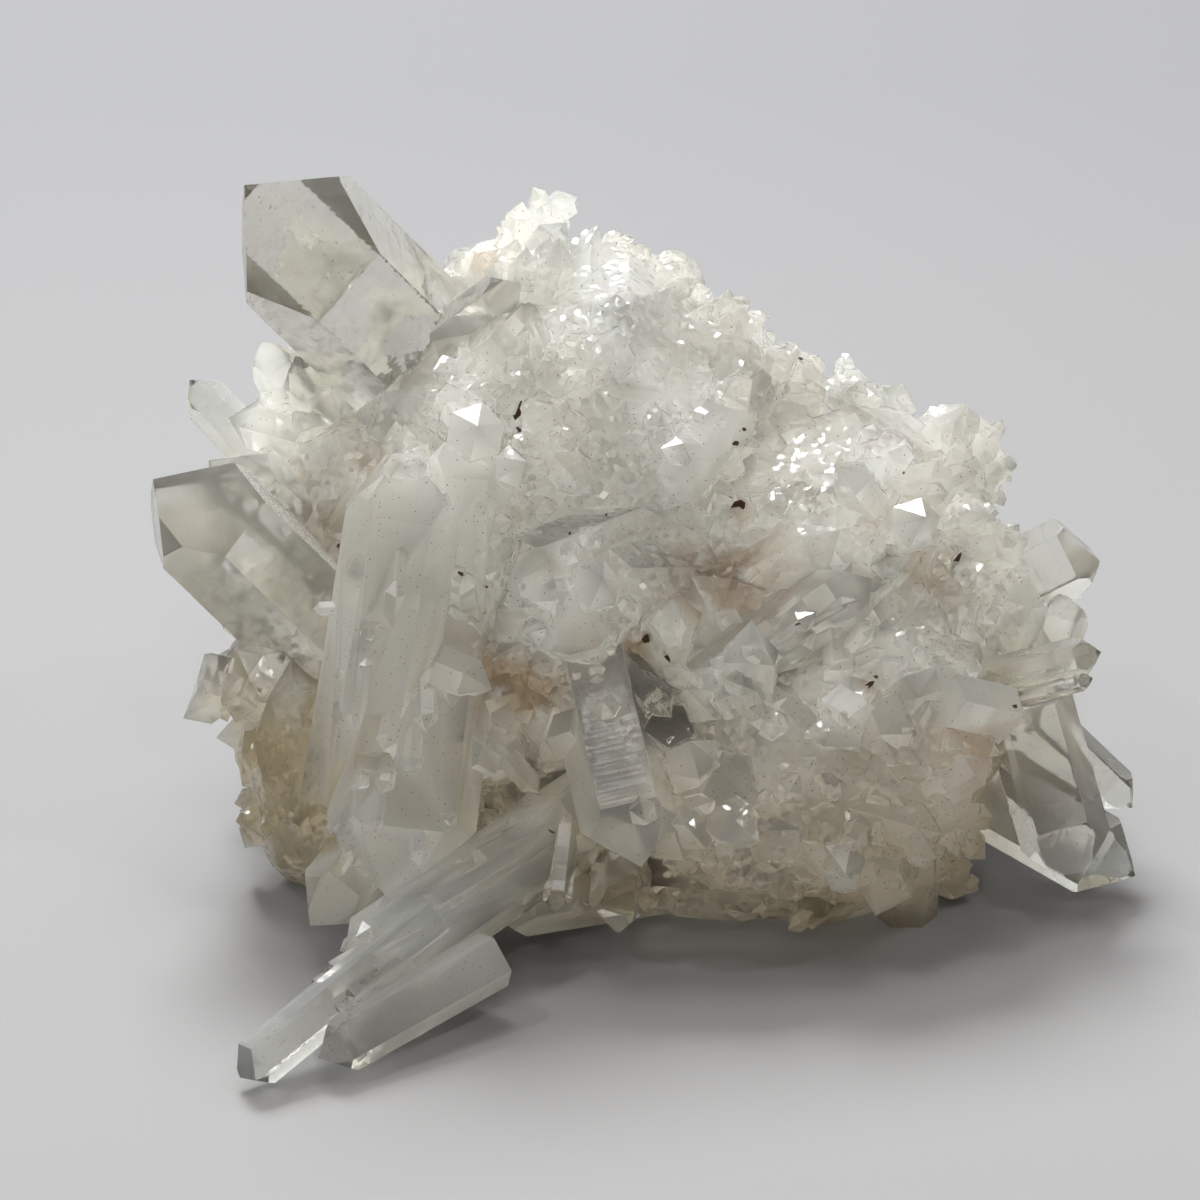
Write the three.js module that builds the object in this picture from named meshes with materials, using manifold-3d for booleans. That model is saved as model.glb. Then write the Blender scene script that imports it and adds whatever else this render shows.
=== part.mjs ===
// A hand-size cluster of rock crystal: a lumpy milky mass with clear points growing out of it on every side.
// Everything in it grew together, so the cluster is one solid, cut flat underneath where it rests.
// Lengths are millimetres and +Z is up. The front of the cluster faces -Y.

import * as THREE from 'three';
import { ConvexGeometry } from 'three/addons/geometries/ConvexGeometry.js';
import { mergeVertices } from 'three/addons/utils/BufferGeometryUtils.js';
import Module from 'manifold-3d';

const wasm = await Module();
wasm.setup();

// The cluster is laid out as somebody sees it who looks down on it from in front: across to the right,
// up the view, and near towards the eye, all measured from a point above the middle of the rest face.
const SIGHT_TILT = 25;             // degrees that the eye looks down
const SIGHT_HEIGHT = 26;           // height of the point looked at, above the rest face
const REST_BLOCK = { wide: 200, deep: 12 };   // the block that cuts the rest face flat from below

// Quartz keeps the same angles between its faces however big each face grows.
const PRISM_STEP = 60;             // degrees between neighbouring prism faces
const CAP_LEAN = 51.8;             // degrees from the long axis to the normal of a face on the point
const SAME_CORNER = 0.02;          // corners closer than this are one corner
const ODD_FACE_BACK = 0.12;        // every second face of a point stands back by this share of the width
const FACE_NEAR = 0.95;            // prism faces touch an oval this much smaller than wide by thick

const MILKY = new THREE.Color('#d9d5ca');

const tilt = THREE.MathUtils.degToRad(SIGHT_TILT);
const TOWARDS_EYE = new THREE.Vector3(0, -Math.cos(tilt), Math.sin(tilt));

// The place of a point given as it is seen: across, up and near.
function seen(across, up, near) {
  return new THREE.Vector3(
    across,
    Math.sin(tilt) * up - Math.cos(tilt) * near,
    SIGHT_HEIGHT + Math.cos(tilt) * up + Math.sin(tilt) * near,
  );
}

// Evenly spread numbers from 0 to 1 that come out the same for the same seed.
function randomFrom(seed) {
  let state = seed * 7919 + 17;
  return () => {
    state = (state + 0x6d2b79f5) | 0;
    let mixed = Math.imul(state ^ (state >>> 15), 1 | state);
    mixed = (mixed + Math.imul(mixed ^ (mixed >>> 7), 61 | mixed)) ^ mixed;
    return ((mixed ^ (mixed >>> 14)) >>> 0) / 4294967296;
  };
}

// A closed geometry as a solid that can be joined and cut.
function solidFrom(geometry) {
  const bare = geometry.clone();
  bare.deleteAttribute('normal');
  bare.deleteAttribute('uv');
  const merged = bare.index ? bare : mergeVertices(bare, 1e-4);
  return new wasm.Manifold(new wasm.Mesh({
    numProp: 3,
    vertProperties: new Float32Array(merged.attributes.position.array),
    triVerts: new Uint32Array(merged.index.array),
  }));
}

// The corners of the convex body inside all the given planes.
function cornersInside(planes) {
  const corners = [];
  const meet = new THREE.Matrix3();
  for (let i = 0; i < planes.length; i += 1) {
    for (let j = i + 1; j < planes.length; j += 1) {
      for (let k = j + 1; k < planes.length; k += 1) {
        const [a, b, c] = [planes[i], planes[j], planes[k]];
        meet.set(
          a.normal.x, a.normal.y, a.normal.z,
          b.normal.x, b.normal.y, b.normal.z,
          c.normal.x, c.normal.y, c.normal.z,
        );
        if (Math.abs(meet.determinant()) < 1e-6) continue;
        const corner = new THREE.Vector3(a.reach, b.reach, c.reach).applyMatrix3(meet.clone().invert());
        const inside = planes.every((plane) => plane.normal.dot(corner) < plane.reach + 1e-6);
        const known = corners.some((other) => other.distanceTo(corner) < SAME_CORNER);
        if (inside && !known) corners.push(corner);
      }
    }
  }
  return corners;
}

// One quartz crystal from its root to its tip. It is `wide` across the view and `thick` along it, and `turn`
// is the angle by which one prism face is turned from facing the eye. Every prism face carries one face of
// the point. `lean` moves the face of the point that looks along `leanTo` inwards, so that it grows large
// and the tip moves to the far side. `blunt` cuts the tip off square, and `snap` tilts that cut.
function crystal({ tip, root, wide, thick = wide, turn = 0, lean = 0, leanTo = 0, uneven = 0.12,
  blunt = 0, snap = 0, simple = false, seed = 1 }) {
  const random = randomFrom(seed);
  const axis = tip.clone().sub(root).normalize();
  const facing = TOWARDS_EYE.clone().addScaledVector(axis, -TOWARDS_EYE.dot(axis)).normalize();
  const right = axis.clone().cross(facing);
  const length = tip.distanceTo(root);
  const capSine = Math.sin(THREE.MathUtils.degToRad(CAP_LEAN));
  const capCosine = Math.cos(THREE.MathUtils.degToRad(CAP_LEAN));

  // Worked out with the ideal tip at the middle and the axis along Z, X to the right and Y to the eye.
  const planes = [{ normal: new THREE.Vector3(0, 0, -1), reach: length }];
  for (let face = 0; face < 6; face += 1) {
    const angle = THREE.MathUtils.degToRad(turn + face * PRISM_STEP);
    const [x, y] = [Math.sin(angle), Math.cos(angle)];
    const half = Math.hypot(wide * x, thick * y) / 2;
    const grown = FACE_NEAR * half * (1 + uneven * (random() - 0.5));
    planes.push({ normal: new THREE.Vector3(x, y, 0), reach: grown });
    const towardsLean = Math.cos(angle - THREE.MathUtils.degToRad(leanTo));
    if (simple && face % 2) continue;
    const back = face % 2 ? ODD_FACE_BACK * Math.min(wide, thick) : 0;
    const out = back + uneven * half * (random() - 0.3) - lean * Math.max(towardsLean, 0) ** 4;
    planes.push({ normal: new THREE.Vector3(x * capSine, y * capSine, capCosine), reach: out });
  }
  if (blunt > 0) {
    const tilted = THREE.MathUtils.degToRad(snap);
    planes.push({ normal: new THREE.Vector3(Math.sin(tilted), 0, Math.cos(tilted)), reach: -blunt });
  }
  const corners = cornersInside(planes);
  const top = corners.reduce((best, corner) => (corner.z > best.z ? corner : best));
  const lift = new THREE.Vector3(0, 0, -top.z);
  const place = new THREE.Matrix4().makeBasis(right, facing, axis).setPosition(tip);
  return solidFrom(new ConvexGeometry(corners.map((corner) => corner.clone().add(lift).applyMatrix4(place))));
}

// A rough lump of the milky mass: a ball stretched to its reach, each corner moved in or out by chance.
function lump({ centre, reach, rough = 0.1, seed = 1, facets = 3 }) {
  const random = randomFrom(seed);
  const ball = new THREE.IcosahedronGeometry(1, facets);
  ball.deleteAttribute('normal');
  ball.deleteAttribute('uv');
  const merged = mergeVertices(ball, 1e-4);
  const places = merged.attributes.position;
  for (let corner = 0; corner < places.count; corner += 1) {
    const size = 1 + rough * (2 * random() - 1);
    places.setXYZ(
      corner,
      centre.x + places.getX(corner) * reach[0] * size,
      centre.y + places.getY(corner) * reach[1] * size,
      centre.z + places.getZ(corner) * reach[2] * size,
    );
  }
  return solidFrom(merged);
}

// The lumps of the milky mass, with their half sizes along X, Y and Z and how many small crystals each has.
const LUMPS = [
  { name: 'summit', centre: seen(-4, 13, -12), reach: [25, 23, 22], seed: 1, druse: 33 },
  { name: 'right shoulder', centre: seen(19.5, -0.5, -10), reach: [21, 23, 20], seed: 2, druse: 30 },
  { name: 'right flank', centre: seen(27, -7, -4), reach: [12, 18, 14], seed: 3, druse: 12 },
  { name: 'heart', centre: seen(0, -2, -1), reach: [20, 15, 14], seed: 4, druse: 8 },
  { name: 'apron', centre: seen(17, -17.5, 6), reach: [20, 15, 14.5], seed: 5, druse: 23 },
  { name: 'base', centre: new THREE.Vector3(0, 8, 11.5), reach: [27, 24, 14], seed: 6, druse: 14 },
  { name: 'brown foot', centre: seen(-28, -17.5, 3), reach: [7, 9, 12.5], seed: 7, facets: 2,
    druse: 14, fine: 0.5 },
  { name: 'foot top', centre: seen(-33.5, -8, 4), reach: [4.8, 5, 4.6], seed: 9, facets: 1,
    druse: 4, fine: 0.5 },
  { name: 'left shoulder', centre: seen(-22, 5, -10), reach: [12, 15, 17], seed: 8, facets: 2, druse: 12 },
];

// The crystals that give the cluster its outline, from the front left to the right.
const POINTS = [
  { name: 'great point', tip: seen(-34.3, 40.1, 10), root: seen(-11.5, 17.7, -12), wide: 15.2, thick: 14,
    turn: 5, lean: 4, leanTo: 20, seed: 11 },
  { name: 'broad point', tip: seen(-43.7, 12.3, 12), root: seen(-18, -13, -4), wide: 12.6, thick: 12,
    turn: 20, lean: 1, leanTo: 0, seed: 12 },
  { name: 'behind broad point', tip: seen(-39, 14, 4), root: seen(-20, -2, -12), wide: 9, thick: 8,
    seed: 13 },
  { name: 'left blade', tip: seen(-41.3, 22, -6), root: seen(-28, 8, -12), wide: 4.5, thick: 4, seed: 14 },
  { name: 'left stub low', tip: seen(-34, 26, -8), root: seen(-26, 12, -10), wide: 5, seed: 15 },
  { name: 'left stub high', tip: seen(-30.5, 24.5, -4), root: seen(-24, 10, -8), wide: 6, seed: 16 },
  { name: 'front slab', tip: seen(-18.5, 14, 19), root: seen(-24, -20, 13), wide: 11, thick: 9, seed: 17 },
  { name: 'front slab right', tip: seen(-13, 17.5, 15), root: seen(-14, -15, 6), wide: 8, seed: 18 },
  { name: 'hanging slab', tip: seen(-20.5, -29.5, 22), root: seen(-17, 2, 8), wide: 15, thick: 9, seed: 19 },
  { name: 'hanging spur', tip: seen(-28.6, -32.2, 19), root: seen(-20, -22, 12), wide: 7, seed: 20 },
  { name: 'hanging point', tip: seen(4.1, -26.4, 24), root: seen(-3, 4, 2), wide: 10, thick: 9, seed: 21 },
  { name: 'long blade', tip: seen(-25.5, -36.8, 31), root: seen(6, -15.8, 6), wide: 8, thick: 6, seed: 22 },
  { name: 'long blade rib', tip: seen(-21.8, -37.6, 32), root: seen(3, -20.5, 9), wide: 5, seed: 41 },
  { name: 'low needle', tip: seen(-34.6, -46, 42.6), root: seen(-16, -31, 27), wide: 5, thick: 4,
    blunt: 1.4, snap: 25, seed: 23 },
  { name: 'under blade', tip: seen(-27.4, -44.6, 40), root: seen(-10.3, -35.2, 28), wide: 5.6, thick: 4,
    seed: 24 },
  { name: 'shaded blade', tip: seen(-11.5, -30.4, 15), root: seen(14, -26.5, 4), wide: 6.5, thick: 7,
    seed: 25 },
  { name: 'clear drop', tip: seen(1.8, -32, 18), root: seen(2.5, -21, 10), wide: 5.5,
    blunt: 1.2, snap: 12, seed: 42 },
  { name: 'clear splinter', tip: seen(-4.4, -30.8, 22), root: seen(-3.2, -20, 14), wide: 2.6, seed: 43 },
  { name: 'right point', tip: seen(47.4, -28.2, 8), root: seen(40.5, -2, -4), wide: 8.4, thick: 7.5,
    seed: 26 },
  { name: 'right point behind', tip: seen(53.4, -27.5, 4), root: seen(34, -16.5, -5), wide: 8.5, thick: 5,
    seed: 27 },
  { name: 'right tooth', tip: seen(53.2, -20.8, 0), root: seen(42, -10, -5), wide: 4.6, thick: 4, seed: 28 },
  { name: 'right needle', tip: seen(49.8, -5.2, 9), root: seen(30, -10, 4), wide: 3.8, seed: 29 },
  { name: 'right needle low', tip: seen(49, -7.8, 9), root: seen(31, -12.2, 4), wide: 2, seed: 30 },
  { name: 'right knob', tip: seen(49.4, 5.6, -6), root: seen(30, -4, -8), wide: 8, thick: 7,
    blunt: 2, snap: -20, seed: 31 },
  { name: 'right column', tip: seen(47, 0.4, -3), root: seen(42, -14, -5), wide: 5,
    blunt: 0.8, snap: 15, seed: 44 },
  { name: 'right pane', tip: seen(42, 4, 2), root: seen(36, -14, -3), wide: 8, thick: 6, seed: 45 },
  { name: 'brown spur', tip: seen(39.6, -11.2, 4), root: seen(31, -24, -1), wide: 6, seed: 46 },
  { name: 'spike upper', tip: seen(36.8, -25.4, 5), root: seen(27, -20, -1), wide: 4, seed: 47 },
  { name: 'spike lower', tip: seen(37.4, -28.8, 5), root: seen(26, -24, -1), wide: 3.6, seed: 48 },
  { name: 'sheaf upper', tip: seen(27, 2, 16), root: seen(2, -15, 8), wide: 7.5, thick: 6, seed: 32 },
  { name: 'sheaf middle', tip: seen(31, -3.5, 16), root: seen(4, -19, 8), wide: 6, thick: 5, seed: 33 },
  { name: 'sheaf lower', tip: seen(29, -9.5, 15), root: seen(9, -20, 8), wide: 5, seed: 34 },
  { name: 'pocket prism', tip: seen(-9, -10, 14), root: seen(-11.5, -17, 9), wide: 3.4, seed: 49 },
  { name: 'summit spur', tip: seen(-6.5, 36.3, -4), root: seen(-5, 16, -9), wide: 4.6, seed: 35 },
  { name: 'summit pane', tip: seen(-8, 31.5, 7), root: seen(-20, 23, -4), wide: 5, seed: 36 },
  { name: 'summit pane low', tip: seen(-7, 27.5, 10), root: seen(-18, 19, -2), wide: 5, seed: 37 },
  { name: 'spotted crystal', tip: seen(15.6, 18.4, 12), root: seen(2, 10, 1), wide: 5.5, seed: 38 },
  { name: 'pink crystal', tip: seen(15.2, -2.6, 12), root: seen(15, 12, -2), wide: 5, seed: 39 },
  { name: 'heart plate', tip: seen(-9.5, 1, 17), root: seen(8, 8, 2), wide: 9, thick: 7, seed: 40 },
  { name: 'heart plate low', tip: seen(-5, -5, 18), root: seen(8, 4, 2), wide: 8, thick: 7, seed: 50 },
  { name: 'small prism', tip: seen(6.8, -11.4, 19), root: seen(0, -4, 8), wide: 3.4, seed: 51 },
  { name: 'shoulder plate', tip: seen(32, 12, 8), root: seen(22, -4, -4), wide: 9, thick: 8, seed: 52 },
  { name: 'shoulder plate right', tip: seen(38, 6, 4), root: seen(28, -6, -6), wide: 8, thick: 7, seed: 53 },
];

// The crystals of the hidden side fan out over the back of the mass, in rows that climb from the surface.
const BACK_ROWS = [
  { count: 7, from: -6, to: 186, climb: 4, reach: [33, 39], wide: [8, 13] },
  { count: 6, from: 8, to: 172, climb: 26, reach: [36, 41], wide: [8, 14] },
  { count: 4, from: 35, to: 150, climb: 46, reach: [32, 35], wide: [8, 12] },
];
const BACK_SWAY = 12;              // degrees that a back crystal may stand off its even place
const BACK_FLAT = 0.85;            // thickness of a back crystal for its width
const MASS_MIDDLE = new THREE.Vector3(1, 10, 20);

function between(range, share) {
  return range[0] + (range[1] - range[0]) * share;
}

function backRow({ count, from, to, climb, reach, wide: widths }, row) {
  const random = randomFrom(90 + row);
  return Array.from({ length: count }, (_, place) => {
    const even = between([from, to], place / (count - 1));
    const angle = THREE.MathUtils.degToRad(even + BACK_SWAY * (random() - 0.5));
    const lift = THREE.MathUtils.degToRad(climb + BACK_SWAY * (random() - 0.5));
    const out = new THREE.Vector3(
      Math.cos(angle) * Math.cos(lift), Math.sin(angle) * Math.cos(lift), Math.sin(lift));
    const tip = MASS_MIDDLE.clone().addScaledVector(out, between(reach, random()));
    const wide = between(widths, random());
    const seed = 300 + 20 * row + place;
    return crystal({ tip, root: MASS_MIDDLE, wide, thick: wide * BACK_FLAT, turn: 60 * random(), seed });
  });
}

// Small crystals cover a lump with their roots inside it, so that little more than their points stand out.
// Each leans a little off the straight way out. A lump's `fine` makes its small crystals smaller.
const DRUSE_WIDE = [5, 10.5];
const DRUSE_PROUD = [0.2, 0.62];   // how far a tip stands out of the lump, for the crystal's width
const DRUSE_LEAN = 0.7;
const GOLDEN_TURN = Math.PI * (3 - Math.sqrt(5));

function druse({ centre, reach, seed, fine = 1, druse: count }) {
  const random = randomFrom(seed + 200);
  const size = new THREE.Vector3(...reach);
  const small = [];
  for (let place = 0; place < count; place += 1) {
    const z = 1 - (2 * place + 1) / count;
    const ring = Math.sqrt(1 - z * z);
    const angle = place * GOLDEN_TURN + random();
    const way = new THREE.Vector3(ring * Math.cos(angle), ring * Math.sin(angle), z);
    const surface = way.clone().multiply(size).add(centre);
    const out = way.clone().divide(size).normalize();
    const lean = new THREE.Vector3(random() - 0.5, random() - 0.5, random() - 0.4);
    out.addScaledVector(lean, DRUSE_LEAN).normalize();
    const wide = fine * between(DRUSE_WIDE, random() ** 1.5);
    const tip = surface.clone().addScaledVector(out, wide * between(DRUSE_PROUD, random()));
    const root = surface.clone().addScaledVector(out, -wide / 2);
    const turn = 60 * random();
    if (insideAnother(surface, centre) || tip.z < wide / 2) continue;
    small.push(crystal({ tip, root, wide, turn, simple: place % 2 > 0, seed: seed * 100 + place }));
  }
  return small;
}

// True where a place is inside a lump other than the one around `centre`.
function insideAnother(place, centre) {
  return LUMPS.some((other) => {
    const offset = place.clone().sub(other.centre).divide(new THREE.Vector3(...other.reach));
    return other.centre !== centre && offset.length() < 0.97;
  });
}

const pieces = [
  ...LUMPS.map(lump),
  ...POINTS.map(crystal),
  ...BACK_ROWS.flatMap(backRow),
  ...LUMPS.flatMap(druse),
];
const whole = pieces.reduce((joined, next) => joined.add(next));
const below = new THREE.BoxGeometry(REST_BLOCK.wide, REST_BLOCK.wide, REST_BLOCK.deep);
below.translate(0, 0, -REST_BLOCK.deep / 2);
below.deleteAttribute('normal');
below.deleteAttribute('uv');
// A hollow sealed between crystals would be a skin of its own, so only the largest, the outer skin, is kept.
const skins = whole.subtract(solidFrom(mergeVertices(below))).decompose();
const cluster = skins.reduce((largest, skin) => (skin.volume() > largest.volume() ? skin : largest));

const mesh = cluster.getMesh();
const geometry = new THREE.BufferGeometry();
geometry.setAttribute('position', new THREE.BufferAttribute(new Float32Array(mesh.vertProperties), 3));
geometry.setIndex(new THREE.BufferAttribute(new Uint32Array(mesh.triVerts), 1));
geometry.computeBoundingBox();
const middle = geometry.boundingBox.getCenter(new THREE.Vector3());
const quartz = new THREE.Mesh(geometry, new THREE.MeshStandardMaterial({
  color: MILKY, roughness: 0.15, metalness: 0, flatShading: true, transparent: true, opacity: 0.6,
}));
quartz.name = 'quartz_cluster';
quartz.position.set(-middle.x, -middle.y, 0);

const group = new THREE.Group();
group.add(quartz);
export default group;
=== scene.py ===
"""A hand-size cluster of rock crystal: clear points and blades on a lumpy milky mass.

The solid cluster comes from the frame. A finer skin of small crystals is grown on its mass and joined with
it into one closed mesh, which then gets the look of natural quartz: water-clear points, milky roots, faint
growth lines across the prism faces and a few rust-brown stains."""

import math

import bmesh
import bpy
import numpy as np
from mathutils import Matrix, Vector
from mathutils.bvhtree import BVHTree


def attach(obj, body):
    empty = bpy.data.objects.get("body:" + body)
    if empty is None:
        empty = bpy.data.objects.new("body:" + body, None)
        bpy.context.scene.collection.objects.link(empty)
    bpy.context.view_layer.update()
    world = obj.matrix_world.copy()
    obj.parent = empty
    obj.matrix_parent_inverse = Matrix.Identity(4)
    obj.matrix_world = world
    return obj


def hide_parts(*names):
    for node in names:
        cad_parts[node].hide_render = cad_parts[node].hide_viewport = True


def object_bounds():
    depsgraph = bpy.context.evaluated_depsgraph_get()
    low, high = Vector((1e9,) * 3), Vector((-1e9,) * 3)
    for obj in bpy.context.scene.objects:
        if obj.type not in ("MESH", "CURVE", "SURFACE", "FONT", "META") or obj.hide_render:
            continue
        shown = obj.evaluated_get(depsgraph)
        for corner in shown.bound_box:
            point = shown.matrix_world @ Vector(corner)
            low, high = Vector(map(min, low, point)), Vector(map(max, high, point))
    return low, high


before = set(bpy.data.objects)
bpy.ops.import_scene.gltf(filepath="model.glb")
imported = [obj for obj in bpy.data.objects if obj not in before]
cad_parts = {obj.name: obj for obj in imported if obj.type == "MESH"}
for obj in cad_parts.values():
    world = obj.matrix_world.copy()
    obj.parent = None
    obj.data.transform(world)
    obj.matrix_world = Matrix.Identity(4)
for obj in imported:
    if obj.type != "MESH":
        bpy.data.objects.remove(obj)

cad_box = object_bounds()

MM = 0.001

# The cluster is described as it is seen from in front: across to the right, up the view and near to the eye,
# in millimetres from a point above the rest face. That point stands at HOME in the frame.
SIGHT_TILT = math.radians(25)
SIGHT_HEIGHT = 26.0
HOME = (-4.34, 6.48)

ACROSS = np.array([1.0, 0.0, 0.0])
UPWARD = np.array([0.0, math.sin(SIGHT_TILT), math.cos(SIGHT_TILT)])
NEARER = np.array([0.0, -math.cos(SIGHT_TILT), math.sin(SIGHT_TILT)])
LOOKED_AT = np.array([HOME[0], HOME[1], SIGHT_HEIGHT])


def seen(across, up, near):
    """The place in the frame, in millimetres, of a point given as it is seen."""
    return LOOKED_AT + across * ACROSS + up * UPWARD + near * NEARER


# The lumps of the milky mass, as they are in the solid: middle and half sizes in millimetres.
LUMPS = [
    (seen(-4, 13, -12), (25, 23, 22)),
    (seen(19.5, -0.5, -10), (21, 23, 20)),
    (seen(27, -7, -4), (12, 18, 14)),
    (seen(0, -2, -1), (20, 15, 14)),
    (seen(17, -17.5, 6), (20, 15, 14.5)),
    (np.array([HOME[0], HOME[1] + 8, 11.5]), (27, 24, 14)),
    (seen(-28, -17.5, 3), (7, 9, 12.5)),
    (seen(-33.5, -8, 4), (4.8, 5, 4.6)),
    (seen(-22, 5, -10), (12, 15, 17)),
]

# The water-clear crystals, by tip, root and half width, and how clear each is from 0 to 1.
CLEAR_POINTS = [
    (seen(-34.3, 40.1, 10), seen(-11.5, 17.7, -12), 11, 1.0),
    (seen(-43.7, 12.3, 12), seen(-18, -13, -4), 10, 0.8),
    (seen(47.4, -28.2, 8), seen(40.5, -2, -4), 7, 1.0),
    (seen(53.4, -27.5, 4), seen(34, -16.5, -5), 7, 1.0),
    (seen(53.2, -20.8, 0), seen(42, -10, -5), 4, 1.0),
    (seen(49.8, -5.2, 9), seen(30, -10, 4), 3.5, 0.9),
    (seen(49.4, 5.6, -6), seen(30, -4, -8), 6, 0.8),
    (seen(-34.6, -46, 42.6), seen(-16, -31, 27), 4.5, 0.95),
    (seen(-27.4, -44.6, 40), seen(-10.3, -35.2, 28), 5, 0.9),
    (seen(-25.5, -36.8, 31), seen(6, -15.8, 6), 7, 0.35),
    (seen(1.8, -32, 18), seen(2.5, -21, 10), 4, 1.0),
    (seen(-4.4, -30.8, 22), seen(-3.2, -20, 14), 2.5, 1.0),
    (seen(-41.3, 22, -6), seen(-28, 8, -12), 4, 0.9),
    (seen(-8, 31.5, 7), seen(-20, 23, -4), 4, 0.8),
    (seen(6.8, -11.4, 19), seen(0, -4, 8), 3, 0.9),
    (seen(27, 2, 16), seen(2, -15, 8), 5, 0.6),
    (seen(4.1, -26.4, 24), seen(-3, 4, 2), 7, 0.05),
]


def smooth_step(value, low, high):
    """0 below low, 1 above high, and an even S between them."""
    share = np.clip((value - low) / (high - low), 0.0, 1.0)
    return share * share * (3.0 - 2.0 * share)


WAVES = 9                           # how many waves make the clouds
FINER = 1.6                         # every third of them is so much finer than the ones before
WEAKER = 0.6                        # and so much weaker
WAVE_TURN = 2.6                     # how far a wave turns over the width of a blob, in radians
WAVE_BEND = 1.3                     # how far each is bent by those before it
CLOUD_CUT = 0.75                    # share of their full height at which the clouds are cut off


def clouds(places, size):
    """Soft clouds from 0 to 1 with blobs of about that size: waves along scattered ways, added up, the later
    ones finer and weaker."""
    random = np.random.default_rng(int(size * 100))
    total, weight = np.zeros(len(places)), 0.0
    for step in range(WAVES):
        way = random.normal(size=3)
        way *= FINER ** (step // 3) * WAVE_TURN / size / np.linalg.norm(way)
        strength = WEAKER ** (step // 3)
        start = random.uniform(0, 2 * math.pi)
        total += strength * np.sin(places @ way + start + WAVE_BEND * np.sin(total))
        weight += strength
    return smooth_step(total / weight, -CLOUD_CUT, CLOUD_CUT)


def depth_in_mass(places):
    """How far each place is from the middle of its nearest lump, where 1 is that lump's own surface."""
    scaled = [np.linalg.norm((places - middle) / np.array(half), axis=1) for middle, half in LUMPS]
    return np.min(scaled, axis=0)


SIDE_FADE = (0.9, 1.25)             # from how many half widths to how many a clear crystal fades to its side
ROOT_FADE = (0.45, 0.95)            # and over which share of its length it fades down to its root


def clearness(places):
    """How clear the quartz is at each place: the strongest of the clear crystals there. Each fades out across
    its half width, and from its tip down to its root."""
    strongest = np.zeros(len(places))
    for tip, root, half, clear in CLEAR_POINTS:
        run = root - tip
        along = np.clip((places - tip) @ run / (run @ run), 0.0, 1.0)
        away = np.linalg.norm(places - (tip + along[:, None] * run), axis=1)
        beside = 1 - smooth_step(away, half * SIDE_FADE[0], half * SIDE_FADE[1])
        strongest = np.maximum(strongest, clear * beside * (1 - smooth_step(along, *ROOT_FADE)))
    return strongest


# Small crystals of the skin

CAP_LEAN = math.radians(38.2)       # quartz's angle between a face of the point and the long axis
SKIN_TIERS = [                      # tries, width range in millimetres, how far tips stand out, how patchy
    (620, (2.6, 5.6), (0.2, 1.5), 0.0),
    (2200, (1.3, 2.9), (0.15, 1.4), 0.75),
    (4200, (0.7, 1.6), (0.15, 1.1), 0.9),
]
SKIN_SEED = 7
PATCH = 7.0                         # size of the patches that fine crystals grow in, in millimetres
PATCH_EDGE = (0.4, 0.6)             # the cloud's value where a patch starts and where it is full
OFF_MASS = (1.1, 1.35)              # depth in the mass over which the skin thins out
OFF_MASS_THINNED = 0.85             # share of the crystals that are missing beyond it
MOST_CLEAR = 0.25                   # nothing grows where the quartz is clearer than this
REST_RIM = 2.0                      # nor nearer to the rest face, in millimetres
SWIRL = 0.12                        # how fast the common lean of neighbouring crystals turns, per millimetre
COMMON_LEAN = 0.75                  # how far neighbours lean together, and how far each leans its own way
OWN_LEAN = 0.45
LEAST_RISE = 0.5                    # a crystal's way rises at least this much out of the surface
ROOT_DEPTH = 0.9                    # its root lies so many widths under the surface
TOUCH = 0.05                        # crystals this near, in millimetres, are joined one after the other
SHOULDER_SWAY = 0.25                # how unevenly the six faces of a point start

# Crystals that grew side by side with a larger one: tip, root and half width of that one, and their number.
SHEAVES = [
    (seen(27, 2, 16), seen(2, -15, 8), 4.5, 34),
    (seen(31, -3.5, 16), seen(4, -19, 8), 4, 26),
    (seen(29, -9.5, 15), seen(9, -20, 8), 4, 22),
    (seen(-25.5, -36.8, 31), seen(6, -15.8, 6), 4.2, 34),
    (seen(-30, -41, 37), seen(-14, -30, 25), 2.4, 12),
    (seen(49, -6.4, 8.5), seen(31, -11, 4), 2.4, 10),
    (seen(4.1, -26.4, 24), seen(-3, 4, 2), 4.4, 10),
    (seen(-18.5, 14, 19), seen(-24, -20, 13), 5, 14),
    (seen(-20.5, -29.5, 22), seen(-17, 2, 8), 6.5, 18),
]
SHEAF_SEED = 11
SHEAF_OUT = (0.65, 0.95)            # how far out a slender tip lies, in half widths of the large crystal
SHEAF_ROOT = 0.6                    # its root lies this share as far out
SHEAF_START = (0.04, 0.6)           # where the tip lies, as a share of the large crystal's length
SHEAF_LENGTH = (5, 16)              # millimetres
SHEAF_WIDTH = (1.1, 2.6)
SHEAF_SKEW = 0.35                   # how far its tip strays, in millimetres


CRYSTAL_CORNERS = 13
UPRIGHT = 0.8                       # an axis steeper than this is measured from X instead of from Z


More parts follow.
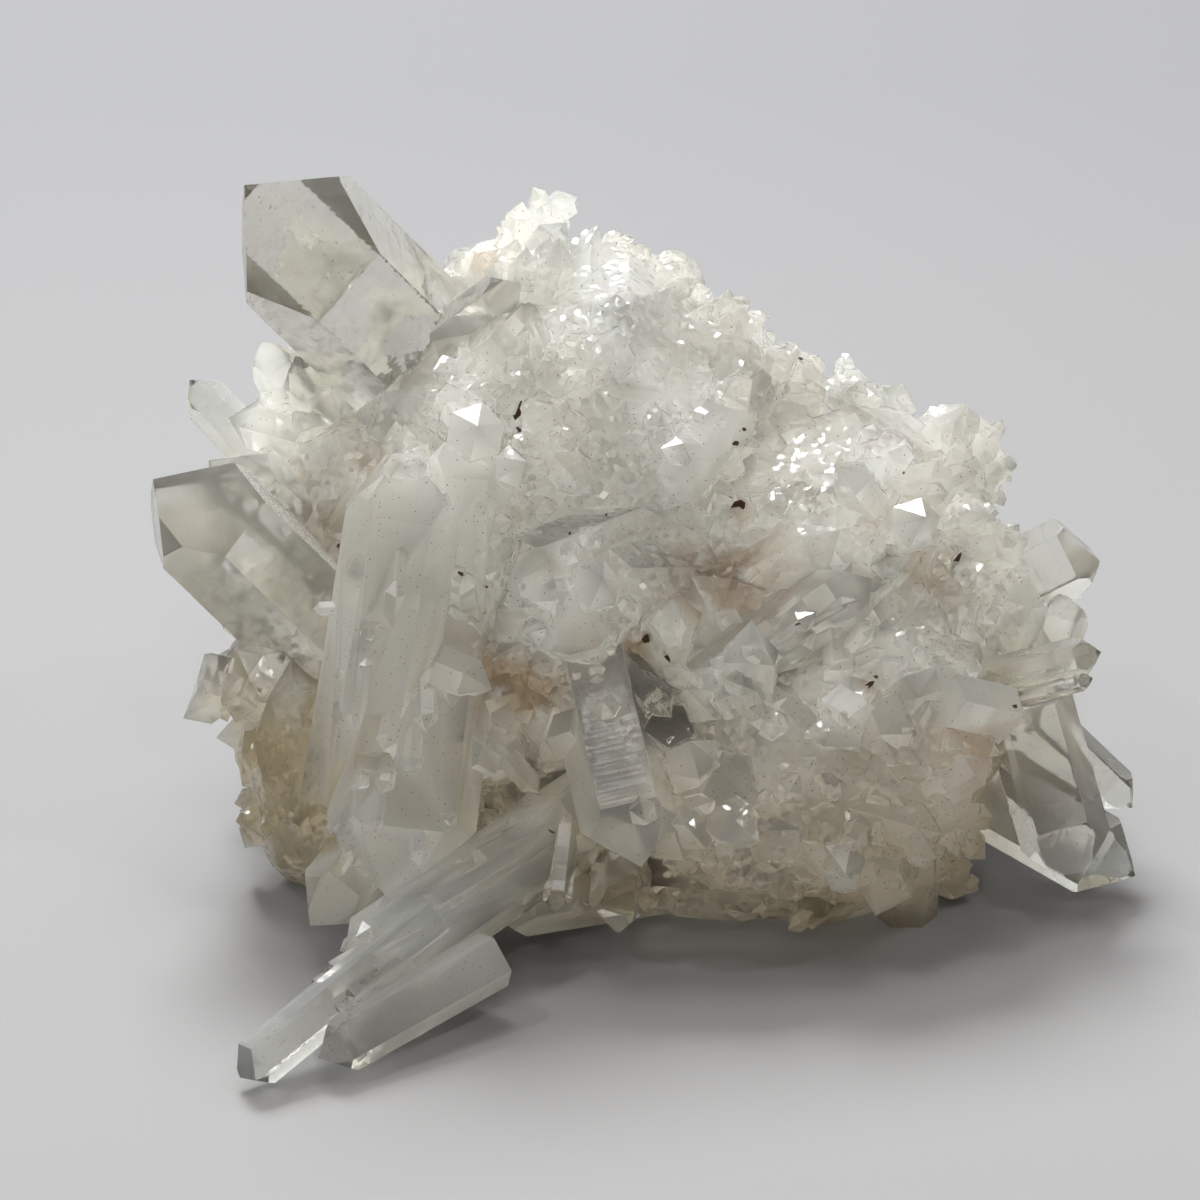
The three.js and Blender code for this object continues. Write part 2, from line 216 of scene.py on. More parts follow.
def crystal_corners(roots, tips, widths, turns, shoulder_sway):
    """Corners of many six-sided crystals at once, thirteen for each: a ring of six round the root, a ring
    of six at the shoulder, where the prism gives way to the point, and the tip. The shoulder stands below
    the tip by half the width over the tangent of quartz's cap angle, swayed by up to a quarter either way."""
    axis = tips - roots
    length = np.linalg.norm(axis, axis=1, keepdims=True)
    axis = axis / length
    helper = np.where(np.abs(axis[:, 2:3]) < UPRIGHT, [[0.0, 0.0, 1.0]], [[1.0, 0.0, 0.0]])
    side = np.cross(axis, helper)
    side /= np.linalg.norm(side, axis=1, keepdims=True)
    other = np.cross(axis, side)
    angles = turns[:, None] + np.arange(6) * math.pi / 3
    radius = (widths / math.sqrt(3))[:, None, None]
    ring = radius * (np.cos(angles)[..., None] * side[:, None] + np.sin(angles)[..., None] * other[:, None])
    drop = (widths / 2 / math.tan(CAP_LEAN))[:, None] * (1 + SHOULDER_SWAY * shoulder_sway)
    shoulder = tips[:, None] - drop[..., None] * axis[:, None] + ring
    base = roots[:, None] + ring
    return np.concatenate([base, shoulder, tips[:, None]], axis=1)


def crystal_faces(count):
    """The faces of that many crystals of thirteen corners: a root, six sides and six faces of the point."""
    around = np.arange(6)
    after = (around + 1) % 6
    first = CRYSTAL_CORNERS * np.arange(count)[:, None, None]
    roots = around[::-1] + first[:, 0]
    sides = (np.stack([around, after, after + 6, around + 6], axis=1) + first).reshape(-1, 4)
    caps = (np.stack([around + 6, after + 6, np.full(6, CRYSTAL_CORNERS - 1)], axis=1) + first).reshape(-1, 3)
    return roots.tolist() + sides.tolist() + caps.tolist()


def mesh_object(name, places, faces):
    """A mesh object from places in millimetres and faces, standing at the origin."""
    mesh = bpy.data.meshes.new(name)
    mesh.from_pydata((places * MM).tolist(), [], faces)
    mesh.update()
    made = bpy.data.objects.new(name, mesh)
    bpy.context.scene.collection.objects.link(made)
    return made


SAME_PLACE = 1e-7                   # corners nearer than this, in metres, are one


def merged_copy(node, name):
    """A copy of a CAD node with its loose triangles joined into one closed skin."""
    copy = bpy.data.objects.new(name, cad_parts[node].data.copy())
    bpy.context.scene.collection.objects.link(copy)
    work = bmesh.new()
    work.from_mesh(copy.data)
    bmesh.ops.remove_doubles(work, verts=work.verts, dist=SAME_PLACE)
    work.to_mesh(copy.data)
    work.free()
    return copy


def read(items, name, count=1, kind=np.float64):
    """A value, or a row of that many values, of every item in one of a mesh's lists, as one array."""
    values = np.empty(len(items) * count, dtype=kind)
    items.foreach_get(name, values)
    return values.reshape(-1, count) if count > 1 else values


def triangles_of(mesh):
    """The corners of every triangle of a mesh, in millimetres, as an array of (triangle, corner, axis)."""
    mesh.calc_loop_triangles()
    corners = read(mesh.loop_triangles, "vertices", 3, np.int32)
    return read(mesh.vertices, "co", 3)[corners] / MM


def common_lean(places):
    """The way that neighbouring crystals lean together: waves across each axis that drift with place."""
    drift = places * SWIRL
    return np.stack([np.sin(drift[:, 1] + 1.7 * drift[:, 2]), np.sin(drift[:, 2] + 1.3 * drift[:, 0] + 2.0),
                     np.sin(drift[:, 0] + 1.5 * drift[:, 1] + 4.0)], axis=1)


def skin_seeds(mesh, count, patchy, random):
    """Random places on the mass and the way out at each: triangles are picked by their area. Those that are
    off the lumps of the mass are thinned out, those on a clear crystal or near the rest face left out, and
    where the growth is patchy so is all that lies between the patches."""
    corners = triangles_of(mesh)
    cross = np.cross(corners[:, 1] - corners[:, 0], corners[:, 2] - corners[:, 0])
    area = np.linalg.norm(cross, axis=1)
    picked = np.searchsorted(np.cumsum(area) / area.sum(), random.random(count))
    first, second = random.random(count), random.random(count)
    over = first + second > 1
    first[over], second[over] = 1 - first[over], 1 - second[over]
    chosen = corners[picked]
    places = (chosen[:, 0] + first[:, None] * (chosen[:, 1] - chosen[:, 0])
              + second[:, None] * (chosen[:, 2] - chosen[:, 0]))
    out = cross[picked] / area[picked][:, None]
    wanted = 1 - OFF_MASS_THINNED * smooth_step(depth_in_mass(places), *OFF_MASS)
    wanted *= 1 - patchy * (1 - smooth_step(clouds(places, PATCH), *PATCH_EDGE))
    free = (clearness(places) < MOST_CLEAR) & (places[:, 2] > REST_RIM)
    kept = free & (random.random(count) < wanted)
    return places[kept], out[kept]


def apart_groups(places, reach):
    """Splits crystals into groups in which none touches another: each goes to the first group where it has
    room. Returns a list of lists of their numbers."""
    groups = []
    for index in range(len(places)):
        for members in groups:
            near = np.linalg.norm(places[members] - places[index], axis=1) < reach[members] + reach[index]
            if not near.any():
                members.append(index)
                break
        else:
            groups.append([index])
    return groups


def join_with(body, other):
    """Makes body the union of itself and a closed object, which is then deleted."""
    union = body.modifiers.new("union", "BOOLEAN")
    union.operation = "UNION"
    union.solver = "MANIFOLD"
    union.object = other
    bpy.context.view_layer.update()
    whole = bpy.data.meshes.new_from_object(body.evaluated_get(bpy.context.evaluated_depsgraph_get()))
    body.modifiers.clear()
    body.data = whole
    bpy.data.objects.remove(other)


def grow(body, roots, tips, widths, random):
    """Joins the body with crystals from their roots to their tips, in groups that don't touch one another."""
    number = len(roots)
    turns = random.uniform(0, math.pi / 3, number)
    sway = random.uniform(-1, 1, (number, 6))
    corners = crystal_corners(roots, tips, widths, turns, sway)
    middles = (roots + tips) / 2
    reach = np.linalg.norm(corners - middles[:, None], axis=2).max(axis=1) + TOUCH
    for group in apart_groups(middles, reach):
        chosen = corners[np.array(group)].reshape(-1, 3)
        join_with(body, mesh_object("skin", chosen, crystal_faces(len(group))))


def grow_skin(body):
    """Grows the small crystals on the mass, the larger ones first. Each leans with its neighbours and a
    little its own way."""
    random = np.random.default_rng(SKIN_SEED)
    for count, width_range, proud_range, patchy in SKIN_TIERS:
        places, out = skin_seeds(body.data, count, patchy, random)
        number = len(places)
        widths = random.uniform(*width_range, number)
        ways = out + COMMON_LEAN * common_lean(places) + OWN_LEAN * random.normal(0, 0.5, (number, 3))
        ways += out * np.maximum(LEAST_RISE - (ways * out).sum(1), 0)[:, None]
        ways /= np.linalg.norm(ways, axis=1, keepdims=True)
        tips = places + ways * (widths * random.uniform(*proud_range, number))[:, None]
        roots = places - ways * (widths * ROOT_DEPTH)[:, None]
        grow(body, roots, tips, widths, random)


def grow_sheaves(body):
    """Grows slender crystals along larger ones, nearly parallel to them, each starting and ending at its own
    share of the larger one's length and lying half sunk in its side."""
    random = np.random.default_rng(SHEAF_SEED)
    for tip, root, half, number in SHEAVES:
        run = root - tip
        length = np.linalg.norm(run)
        axis = run / length
        side = np.cross(axis, np.array([0.0, 0.0, 1.0]))
        side /= np.linalg.norm(side)
        other = np.cross(axis, side)
        angle = random.uniform(0, 2 * math.pi, number)
        out = half * random.uniform(*SHEAF_OUT, number)
        around = np.cos(angle)[:, None] * side + np.sin(angle)[:, None] * other
        first = length * random.uniform(*SHEAF_START, number)
        last = np.minimum(first + random.uniform(*SHEAF_LENGTH, number), length)
        skew = random.normal(0, SHEAF_SKEW, (number, 3))
        tips = tip + first[:, None] * axis + out[:, None] * around + skew
        roots = tip + last[:, None] * axis + (out * SHEAF_ROOT)[:, None] * around
        grow(body, roots, tips, random.uniform(*SHEAF_WIDTH, number), random)


def keep_in_box(body, box):
    """Moves any corner that stands outside the solid's box onto it."""
    places = np.clip(read(body.data.vertices, "co", 3), np.array(box[0]), np.array(box[1]))
    body.data.vertices.foreach_set("co", places.ravel())
    body.data.update()


ONE_PLANE = math.radians(0.6)       # triangles that turn less than this from their neighbours are one face


def flat_faces(body):
    """Joins triangles that lie in one plane, so that each crystal face is one face."""
    work = bmesh.new()
    work.from_mesh(body.data)
    bmesh.ops.dissolve_limit(work, angle_limit=ONE_PLANE, verts=work.verts, edges=work.edges)
    work.to_mesh(body.data)
    work.free()


LEAST_EDGE = 1e-9                   # millimetres, so that no edge is divided by nothing


def map_faces(mesh):
    """Gives every face its own map. U runs along the face's longest edge, which on a prism face is the way
    the crystal grew, and V across it, both in millimetres from the face's first corner."""
    places = read(mesh.vertices, "co", 3) / MM
    corner = read(mesh.loops, "vertex_index", kind=np.int32)
    start = read(mesh.polygons, "loop_start", kind=np.int32)
    total = read(mesh.polygons, "loop_total", kind=np.int32)
    face = np.repeat(np.arange(len(start)), total)
    following = np.arange(len(corner)) + 1
    following[start + total - 1] = start
    edge = places[corner[following]] - places[corner]
    length = np.linalg.norm(edge, axis=1)
    longest = np.lexsort((length, face))[start + total - 1]
    along = edge[longest] / np.maximum(length[longest], LEAST_EDGE)[:, None]
    across = np.cross(read(mesh.polygons, "normal", 3), along)
    here = places[corner] - places[corner[start]][face]
    flat = np.stack([(here * along[face]).sum(1), (here * across[face]).sum(1)], axis=1)
    mesh.uv_layers.new(name="faces").data.foreach_set("uv", flat.astype(np.float32).ravel())


GLASSY = 0.6                        # how clear the clearest patches of the mass are
GLASSY_SIZE = 5.0                   # and about how wide, in millimetres
BROKEN_EDGE = (1.1, 1.3)            # depth in the mass over which its broken faces give way to whole ones
FROST_SEED = 5


def mark(mesh, name, kind, domain, values):
    """Adds an attribute of that kind to a mesh and fills it."""
    layer = mesh.attributes.new(name, kind, domain)
    field = "color" if kind == "FLOAT_COLOR" else "value"
    layer.data.foreach_set(field, values.astype(np.float32).ravel())


def mark_quartz(mesh):
    """Marks every corner with its colour, how clear the quartz is and how broken its faces are, and every
    face with how frosted it is. The milk of the mass has glassy patches."""
    places = read(mesh.vertices, "co", 3) / MM
    clear = clearness(places)
    glassy = clear + GLASSY * clouds(places, GLASSY_SIZE) ** 2 * (1 - clear)
    broken = (1 - smooth_step(depth_in_mass(places), *BROKEN_EDGE)) * (1 - clear)
    frost = np.random.default_rng(FROST_SEED).random(len(mesh.polygons))
    mark(mesh, "tone", "FLOAT_COLOR", "POINT", tones(mesh, places))
    mark(mesh, "clear", "FLOAT", "POINT", glassy)
    mark(mesh, "broken", "FLOAT", "POINT", broken)
    mark(mesh, "frost", "FLOAT", "FACE", frost)


IN_FRONT = 90.0                     # this near to the eye is in front of all of the cluster, in millimetres


def shown_places(mesh, spots):
    """The point of the surface that shows at each spot of the front view, given across and up."""
    corners = triangles_of(mesh).reshape(-1, 3) * MM
    skin = BVHTree.FromPolygons(corners.tolist(), np.arange(len(corners)).reshape(-1, 3).tolist())
    eyes = [Vector(seen(across, up, IN_FRONT) * MM) for across, up in spots]
    return np.array([skin.ray_cast(eye, Vector(-NEARER))[0] for eye in eyes]) / MM


def linear(hex_colour):
    """An sRGB hex colour as linear red, green and blue, with alpha 1."""
    channels = [int(hex_colour[i:i + 2], 16) / 255 for i in (1, 3, 5)]
    return [c / 12.92 if c <= 0.04045 else ((c + 0.055) / 1.055) ** 2.4 for c in channels] + [1.0]


MILK = "#f8fbf7"
CREAM = "#efede3"
# Partly the warmer colour low on the cluster, partly painted shade beneath the mass.
UNDERSIDE_TONE_AND_SHADE = "#d8cbb0"
RUST = "#b3946e"
EARTH = "#94704a"
ROSE = "#dfc9b2"
OCHRE = "#c4b48c"
# A grey that paints shade on the cluster's shoulder.
SHOULDER_SHADE_GREY = "#d2cdc2"

# Tints of iron in the quartz, and two grey patches of painted shade on the shoulder: place as seen, radius in
# millimetres, strength and colour.
IRON_TINTS_AND_SHADE = [
    (11.5, 2.0, 5, 1.0, EARTH), (14, 9.3, 2.5, 1.0, RUST), (-9, -8, 5.5, 0.8, RUST),
    (-26, 8, 9, 0.45, RUST), (-30, -18, 14, 0.85, OCHRE), (37.5, -15, 6, 0.8, ROSE),
    (32, 4.5, 5, 0.6, ROSE), (16, 2, 6, 0.8, ROSE), (26.5, -8.5, 1.6, 0.9, RUST),
    (4, -4.5, 2.5, 0.9, RUST), (-33, 33, 4, 0.2, ROSE), (23, -30, 9, 0.6, OCHRE),
    (-1, -28, 7, 0.3, ROSE), (-12, -24, 5, 0.3, ROSE), (-11, 34, 3.5, 0.5, ROSE),
    # The two grey patches here are painted shade on the shoulder, not iron.
    (22, 20, 17, 0.5, SHOULDER_SHADE_GREY), (36, 12, 12, 0.4, SHOULDER_SHADE_GREY),
]

CREAM_SIZE = 8.0                    # width of the clouds of cream, in millimetres
RAGGED_SIZE = 3.0                   # and of the ragged edge of a tint
TINT_EDGE = (0.2, 1.1)              # the share of its radius over which a tint fades
UNDERSIDE_SHADE_HEIGHT = (2.0, 34.0)      # the underside's warmer, darker tone, partly painted shade beneath the mass, fades out between these heights
UNDERSIDE_SHADE_DEPTH = (1.2, 1.5)        # and where crystals stand out of the mass
UNDERSIDE_SHADE_STRENGTH = 0.9


def tones(mesh, places):
    """The colour of the quartz at each place: milk that clouds over to cream, darker and warmer towards the
    underside, which is partly painted shade beneath the mass, with the tints of iron and two patches of
    painted shade on the shoulder laid over it, each ragged at its edge."""
    def blend(under, over, share):
        return under + share[:, None] * (np.array(linear(over)) - under)

    colour = np.tile(np.array(linear(MILK)), (len(places), 1))
    colour = blend(colour, CREAM, clouds(places, CREAM_SIZE))
    # Partly painted shade: the colour darkens and warms towards the bottom and into the mass.
    low = 1 - smooth_step(places[:, 2], *UNDERSIDE_SHADE_HEIGHT)
    inner = 1 - smooth_step(depth_in_mass(places), *UNDERSIDE_SHADE_DEPTH)
    colour = blend(colour, UNDERSIDE_TONE_AND_SHADE, UNDERSIDE_SHADE_STRENGTH * low * inner)
    ragged = clouds(places, RAGGED_SIZE) - 0.5
    middles = shown_places(mesh, [tint[:2] for tint in IRON_TINTS_AND_SHADE])
    for middle, (_, _, radius, strength, tint) in zip(middles, IRON_TINTS_AND_SHADE):
        away = np.linalg.norm(places - middle, axis=1) / radius + ragged
        colour = blend(colour, tint, strength * (1 - smooth_step(away, *TINT_EDGE)))
    return colour


# Flakes of iron oxide that lie on the quartz: place as seen, half length, half width and turn in degrees.
FLAKES = [
    (-8.2, 18.8, 1.3, 0.55, 65), (-7.9, 16.7, 0.9, 0.3, -50), (13.5, 15.5, 0.5, 0.4, 20),
    (14.3, 16.9, 0.3, 0.25, 0), (13.8, 9.3, 0.9, 0.7, 30), (35.6, 4.0, 1.4, 0.35, 60),
    (4.8, -3.8, 0.8, 0.55, 25), (6.6, -5.6, 0.9, 0.3, -60), (26.5, -8.4, 0.9, 0.35, 35),
    (27.4, -7.6, 0.5, 0.25, -20), (-3.0, 6.5, 0.35, 0.2, 80), (-11.3, 1.3, 0.3, 0.2, 10),
    (-4.8, -22.9, 0.5, 0.2, -30), (41.0, -10.6, 0.6, 0.25, 15), (20.1, 24.2, 0.35, 0.25, 0),
    (0.6, 8.4, 0.3, 0.15, 60), (-26.0, 5.4, 0.45, 0.3, 40), (-13.8, 2.6, 0.4, 0.25, -25),
    (19.5, -2.4, 0.4, 0.15, 20), (30.2, 12.6, 0.35, 0.2, 70),
]
FLAKE_SEED = 23
FLAKE_CORNERS = 7
FLAKE_REACH = (0.55, 1.0)           # how far out a corner lies, as a share of the ellipse
FLAKE_THICK = 0.12                  # millimetres
FLAKE_PROUD = 0.08                  # how far its front lies above the quartz
FLAKE_LEAN = 0.4                    # how far its upper end leans towards the eye, as a slope


def iron_flakes(mesh):
    """Thin closed flakes on the surface. Each is a ring whose corners lie at uneven reaches on an ellipse,
    turned in the view, with a second ring behind it; between the rings runs the edge."""
    random = np.random.default_rng(FLAKE_SEED)
    rows = np.array(FLAKES)
    middles = shown_places(mesh, rows[:, :2]) + FLAKE_PROUD * NEARER
    angle = np.arange(FLAKE_CORNERS) * 2 * math.pi / FLAKE_CORNERS
    reach = random.uniform(*FLAKE_REACH, (len(rows), FLAKE_CORNERS))
    long, wide = rows[:, 2:3] * np.cos(angle) * reach, rows[:, 3:4] * np.sin(angle) * reach
    turn = np.radians(rows[:, 4:5])
    across = long * np.cos(turn) - wide * np.sin(turn)
    up = long * np.sin(turn) + wide * np.cos(turn)
    front = middles[:, None] + across[..., None] * ACROSS + up[..., None] * (UPWARD + FLAKE_LEAN * NEARER)
    places = np.stack([front, front - FLAKE_THICK * NEARER], axis=1).reshape(-1, 3)
    around = np.arange(FLAKE_CORNERS)
    after = (around + 1) % FLAKE_CORNERS
    first = 2 * FLAKE_CORNERS * np.arange(len(rows))[:, None]
    edges = np.stack([after, around, around + FLAKE_CORNERS, after + FLAKE_CORNERS], axis=1)
    edges = (edges + first[..., None]).reshape(-1, 4)
    flats = np.concatenate([around + first, around[::-1] + FLAKE_CORNERS + first])
    return mesh_object("iron_oxide_flakes", places, flats.tolist() + edges.tolist())


# Materials

PAPER_FRONT = -0.05                 # how far back the painted shade on the paper starts, in metres
PAPER_BACK = 0.2                    # and where it is greyest
PAPER_PALE = "#bdbdbd"
PAPER_IN_SHADE = "#a8a9ab"


def add(tree, kind, settings=None, links=None):
    """Adds a node, sets its own values and its inputs' values, and links outputs into its inputs."""
    node = tree.nodes.new(kind)
    for key, value in (settings or {}).items():
        if isinstance(key, str) and hasattr(node, key):
            setattr(node, key, value)
        else:
            node.inputs[key].default_value = value
    for key, output in (links or {}).items():
        tree.links.new(output, node.inputs[key])
    return node


CELL = 0.6                          # width of the tiny flats on milky quartz, in millimetres
TILT = 0.5                          # how far a flat may tilt out of its face, as a slope
LINES = (3.4, 0.12, 0.0)            # growth lines to the millimetre, along a face and across it
LINE_TILT = 0.08                    # how far the flank of a line tilts, as a slope
DUST_SIZE = (0.38, -0.24)           # a speck's radius in cells is the first times its chance, plus the second
IOR = 1.544                         # quartz's refractive index
THROUGH = (0.5, 0.93)               # how much light goes through, from the milkiest quartz to the clearest
FROST = (0.02, 0.14)                # roughness, from the smoothest faces to the most frosted
MILKY_ROUGHNESS = 0.06              # added where the quartz is milky
GLOW = (27.0, 26.5, 24.0)           # how far red, green and blue light spread in the milk, in millimetres
ABSORPTION = 3.0                    # per metre

DUST = "#7d6a57"
DEEP = "#efe8da"                    # what is left of white light deep in the crystal
IRON_BROWN = "#4a2f1e"
IRON_ROUGHNESS = 0.7


def facet_normal(tree, on_face, cells, broken):
    """The normal of a face with tiny flats, each tilted a way of its own where the milk is broken or etched,
    and with the flanks of faint growth lines, which run across each prism face close together."""
    half = (0.5, 0.5, 0.5)
    flat_way = add(tree, "ShaderNodeVectorMath", {"operation": "SUBTRACT", 1: half},
                   {0: cells.outputs["Color"]}).outputs[0]
    steepness = add(tree, "ShaderNodeMath", {"operation": "MULTIPLY", 1: TILT}, {0: broken}).outputs[0]
    flat_lean = add(tree, "ShaderNodeVectorMath", {"operation": "SCALE"}, {0: flat_way, "Scale": steepness})
    lines_at = add(tree, "ShaderNodeVectorMath", {"operation": "MULTIPLY", 1: LINES}, {0: on_face})
    lines = add(tree, "ShaderNodeTexNoise", {"noise_dimensions": "2D", "Scale": 1.0, "Detail": 0.0},
                {"Vector": lines_at.outputs[0]})
    line_way = add(tree, "ShaderNodeVectorMath", {"operation": "SUBTRACT", 1: half},
                   {0: lines.outputs["Color"]}).outputs[0]
    lean = add(tree, "ShaderNodeVectorMath", {"operation": "MULTIPLY_ADD", 1: (LINE_TILT,) * 3},
               {0: line_way, 2: flat_lean.outputs[0]}).outputs[0]
    out = add(tree, "ShaderNodeNewGeometry").outputs["Normal"]
    leant = add(tree, "ShaderNodeVectorMath", {"operation": "ADD"}, {0: out, 1: lean}).outputs[0]
    return add(tree, "ShaderNodeVectorMath", {"operation": "NORMALIZE"}, {0: leant}).outputs[0]


def dust_specks(tree, cells):
    """1 on a speck of dust and 0 beside it. A cell has a speck only where its chance makes the radius more
    than nothing."""
    chance = add(tree, "ShaderNodeSeparateXYZ", {}, {0: cells.outputs["Color"]}).outputs["X"]
    size = add(tree, "ShaderNodeMath", {"operation": "MULTIPLY_ADD", 1: DUST_SIZE[0], 2: DUST_SIZE[1]},
               {0: chance}).outputs[0]
    return add(tree, "ShaderNodeMath", {"operation": "LESS_THAN"},
               {0: cells.outputs["Distance"], 1: size}).outputs[0]


def rock_crystal():
    """Natural quartz, grown and unpolished. Clear points show what is behind them and milky roots scatter the
    light, so the cluster is bright and soft inside with sharp glints on its faces."""
    material = bpy.data.materials.new("rock_crystal_grown")
    material.use_nodes = True
    tree = material.node_tree
    tree.nodes.clear()
    clear = add(tree, "ShaderNodeAttribute", {"attribute_name": "clear"}).outputs["Fac"]
    frost = add(tree, "ShaderNodeAttribute", {"attribute_name": "frost"}).outputs["Fac"]
    broken = add(tree, "ShaderNodeAttribute", {"attribute_name": "broken"}).outputs["Fac"]
    tone = add(tree, "ShaderNodeAttribute", {"attribute_name": "tone"}).outputs["Color"]
    on_face = add(tree, "ShaderNodeUVMap", {"uv_map": "faces"}).outputs["UV"]
    cells = add(tree, "ShaderNodeTexVoronoi", {"voronoi_dimensions": "2D", "Scale": 1 / CELL},
                {"Vector": on_face})
    normal = facet_normal(tree, on_face, cells, broken)

    # Dust lies thinly on the faces: it hides what is under it and gives them a faint grain.
    dust = dust_specks(tree, cells)
    colour = add(tree, "ShaderNodeMix", {"data_type": "RGBA", 7: linear(DUST)}, {0: dust, 6: tone}).outputs[2]
    through = add(tree, "ShaderNodeMapRange", {"To Min": THROUGH[0], "To Max": THROUGH[1]}, {"Value": clear})
    through = add(tree, "ShaderNodeMath", {"operation": "SUBTRACT"}, {0: through.outputs["Result"], 1: dust})

    # Some faces are smooth and glint, others are frosted and shine softly, most of all in the milk.
    frosted = add(tree, "ShaderNodeMapRange", {"To Min": FROST[0], "To Max": FROST[1]}, {"Value": frost})
    milky = add(tree, "ShaderNodeMath", {"operation": "SUBTRACT", 0: 1.0}, {1: clear}).outputs[0]
    rough = add(tree, "ShaderNodeMath", {"operation": "MULTIPLY_ADD", 1: MILKY_ROUGHNESS},
                {0: milky, 2: frosted.outputs["Result"]})

    surface = add(tree, "ShaderNodeBsdfPrincipled", {
        "distribution": "GGX", "IOR": IOR, "subsurface_method": "BURLEY", "Subsurface Weight": 1.0,
        "Subsurface Scale": 1.0, "Subsurface Radius": tuple(reach * MM for reach in GLOW)},
        {"Base Color": colour, "Roughness": rough.outputs[0], "Transmission Weight": through.outputs[0],
         "Normal": normal})
    inside = add(tree, "ShaderNodeVolumeAbsorption", {"Color": linear(DEEP), "Density": ABSORPTION})
    add(tree, "ShaderNodeOutputMaterial", {}, {"Surface": surface.outputs[0], "Volume": inside.outputs[0]})
    return material


def iron_oxide():
    """Earthy iron oxide, dull and dark brown, which marks the pale quartz with small dark flecks."""
    material = bpy.data.materials.new("iron_oxide_earthy")
    material.use_nodes = True
    surface = material.node_tree.nodes["Principled BSDF"]
    surface.inputs["Base Color"].default_value = linear(IRON_BROWN)
    surface.inputs["Roughness"].default_value = IRON_ROUGHNESS
    return material


def paper_floor():
    """Matt photo paper, which gives a pale ground with no gloss. Its colour greys towards the back as
    painted shade, where less light falls on the paper in a room."""
    material = bpy.data.materials.new("photo_paper_matt")
    material.use_nodes = True
    tree = material.node_tree
    tree.nodes.clear()
    place = add(tree, "ShaderNodeTexCoord").outputs["Object"]
    depth = add(tree, "ShaderNodeSeparateXYZ", {}, {0: place}).outputs["Y"]
    back = add(tree, "ShaderNodeMapRange", {"From Min": PAPER_FRONT, "From Max": PAPER_BACK},
               {"Value": depth})
    colour = add(tree, "ShaderNodeMix", {"data_type": "RGBA", 6: linear(PAPER_PALE), 7: linear(PAPER_IN_SHADE)},
                 {0: back.outputs["Result"]}).outputs[2]
    matt = add(tree, "ShaderNodeBsdfDiffuse", {}, {"Color": colour}).outputs[0]
    add(tree, "ShaderNodeOutputMaterial", {}, {"Surface": matt})
    return material


# The object

cluster = merged_copy("quartz_cluster", "cluster")
grow_sheaves(cluster)
grow_skin(cluster)
keep_in_box(cluster, cad_box)
flat_faces(cluster)
map_faces(cluster.data)
mark_quartz(cluster.data)
cluster.data.materials.clear()
cluster.data.materials.append(rock_crystal())
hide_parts("quartz_cluster")
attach(cluster, "root")

flakes = iron_flakes(cluster.data)
flakes.data.materials.append(iron_oxide())
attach(flakes, "root")

# The stage

FLOOR_HALF = 3.0                    # metres
FLOOR_CORNERS = np.array([[-1, -1, 0], [1, -1, 0], [1, 1, 0], [-1, 1, 0]])
VIEW_DISTANCE = 1.5                 # metres from the camera to what it looks at
VIEW_FIELD = 0.12                   # metres across that the picture shows there
SENSOR = 36.0
LOOK = Vector(LOOKED_AT * MM)
BRIGHT_WAY = Vector((-0.1, 1.0, 0.35)).normalized()     # the room is brightest this way, behind the cluster
BRIGHT_EDGE = (0.2, 0.95)           # cosines to that way between which the room brightens
ROOM_DARK = "#3f332a"
ROOM_BRIGHT = "#f6f6f8"


def aimed(name, data, place):
    """A camera or light at a place, in metres, turned to look at the cluster."""
    thing = bpy.data.objects.new(name, data)
    bpy.context.scene.collection.objects.link(thing)
    thing.location = place
    thing.rotation_mode = "QUATERNION"
    thing.rotation_quaternion = (LOOK - Vector(place)).to_track_quat("-Z", "Y")
    return thing


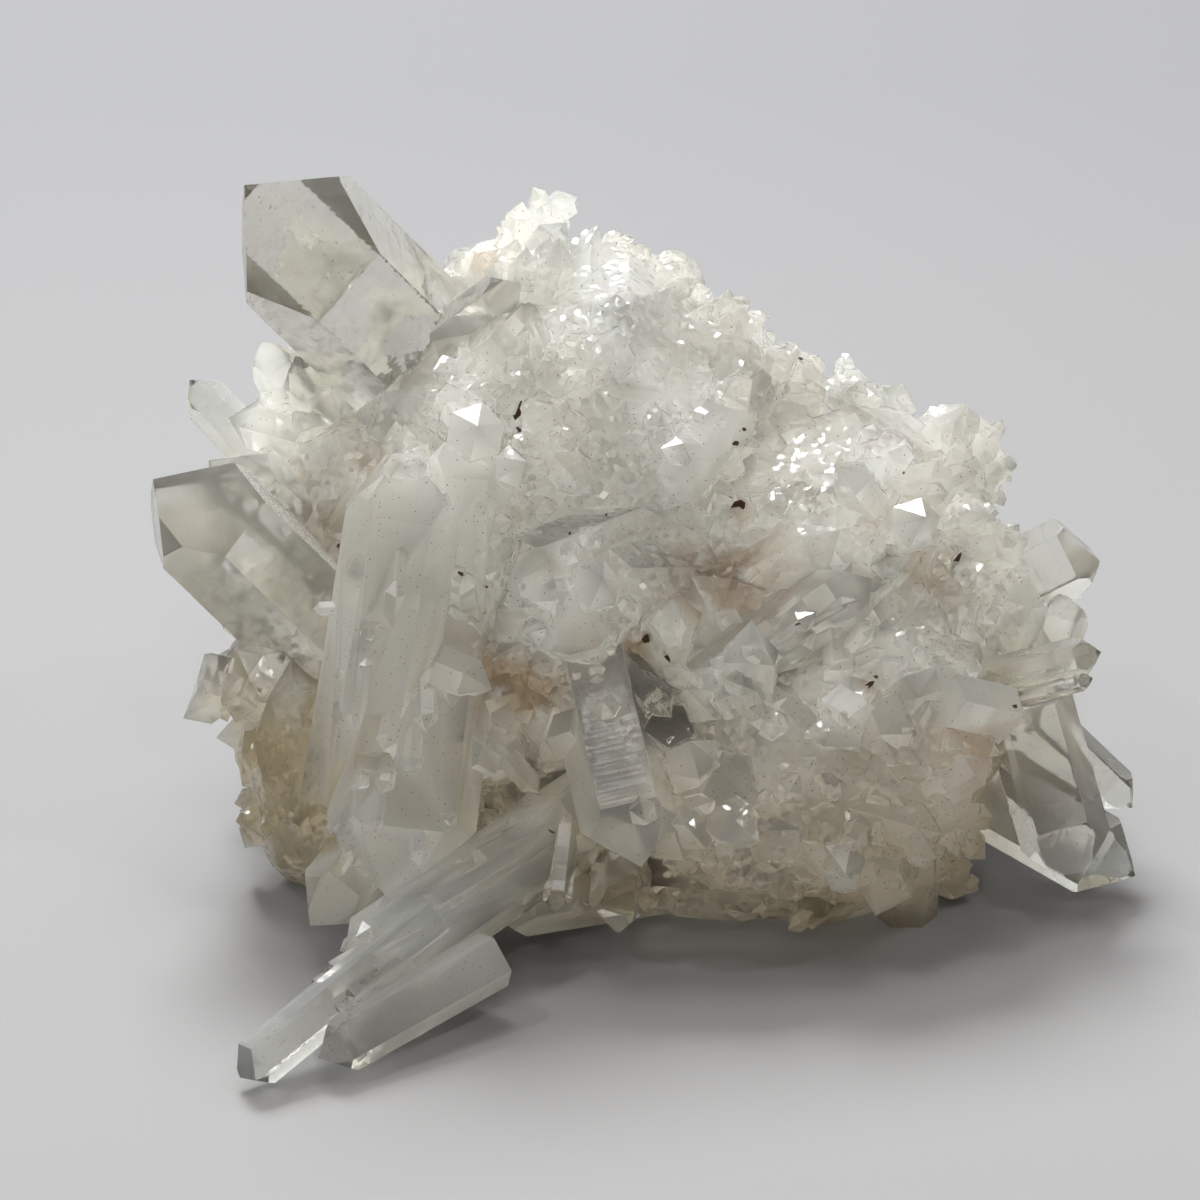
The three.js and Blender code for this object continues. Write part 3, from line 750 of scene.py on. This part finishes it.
def photo_camera():
    """A camera with a long lens, so far off that the picture has hardly any perspective."""
    lens = bpy.data.cameras.new("camera")
    lens.sensor_width = SENSOR
    lens.lens = SENSOR * VIEW_DISTANCE / VIEW_FIELD
    return aimed("camera", lens, LOOK + Vector(NEARER) * VIEW_DISTANCE)


def soft_light(name, place, size, power, spread):
    """A square soft box that faces the cluster and spreads its light over that many degrees."""
    light = bpy.data.lights.new(name, "AREA")
    light.size = size
    light.energy = power
    light.spread = math.radians(spread)
    aimed(name, light, place)


def studio_room():
    """A room that is bright behind the cluster and dark in front of it, so the crystals glow from behind."""
    world = bpy.data.worlds.new("studio")
    world.use_nodes = True
    sky = world.node_tree
    towards = add(sky, "ShaderNodeTexCoord").outputs["Generated"]
    facing = add(sky, "ShaderNodeVectorMath", {"operation": "DOT_PRODUCT", 1: tuple(BRIGHT_WAY)},
                 {0: towards})
    share = add(sky, "ShaderNodeMapRange", {"From Min": BRIGHT_EDGE[0], "From Max": BRIGHT_EDGE[1]},
                {"Value": facing.outputs["Value"]})
    glow = add(sky, "ShaderNodeMix", {"data_type": "RGBA", 6: linear(ROOM_DARK), 7: linear(ROOM_BRIGHT)},
               {0: share.outputs["Result"]}).outputs[2]
    sky.links.new(glow, sky.nodes["Background"].inputs["Color"])
    sky.nodes["Background"].inputs["Strength"].default_value = 1.0
    return world


floor = mesh_object("floor", FLOOR_CORNERS * FLOOR_HALF / MM, [[0, 1, 2, 3]])
floor.data.materials.append(paper_floor())

soft_light("back_box", (-0.14, 0.54, 0.6), 0.26, 1.9, 100)
soft_light("top_fill", (-0.05, 0.25, 0.95), 0.4, 0.62, 120)
soft_light("front_fill", (-0.35, -0.85, 0.33), 0.6, 1.1, 180)
soft_light("glint_left", (-0.5, -0.1, 0.75), 0.08, 0.5, 180)
soft_light("glint_right", (0.45, -0.2, 0.8), 0.08, 0.45, 180)
soft_light("glint_front", (0.05, -0.65, 0.75), 0.08, 0.4, 180)
scene = bpy.context.scene
bpy.context.scene.camera = photo_camera()
scene.world = studio_room()
scene.view_settings.view_transform = "Standard"

# Light is followed through up to seven faces, so the clear points show what is behind them.
scene.cycles.max_bounces = 7
scene.cycles.transmission_bounces = 7
scene.cycles.diffuse_bounces = 1
scene.cycles.use_light_tree = False
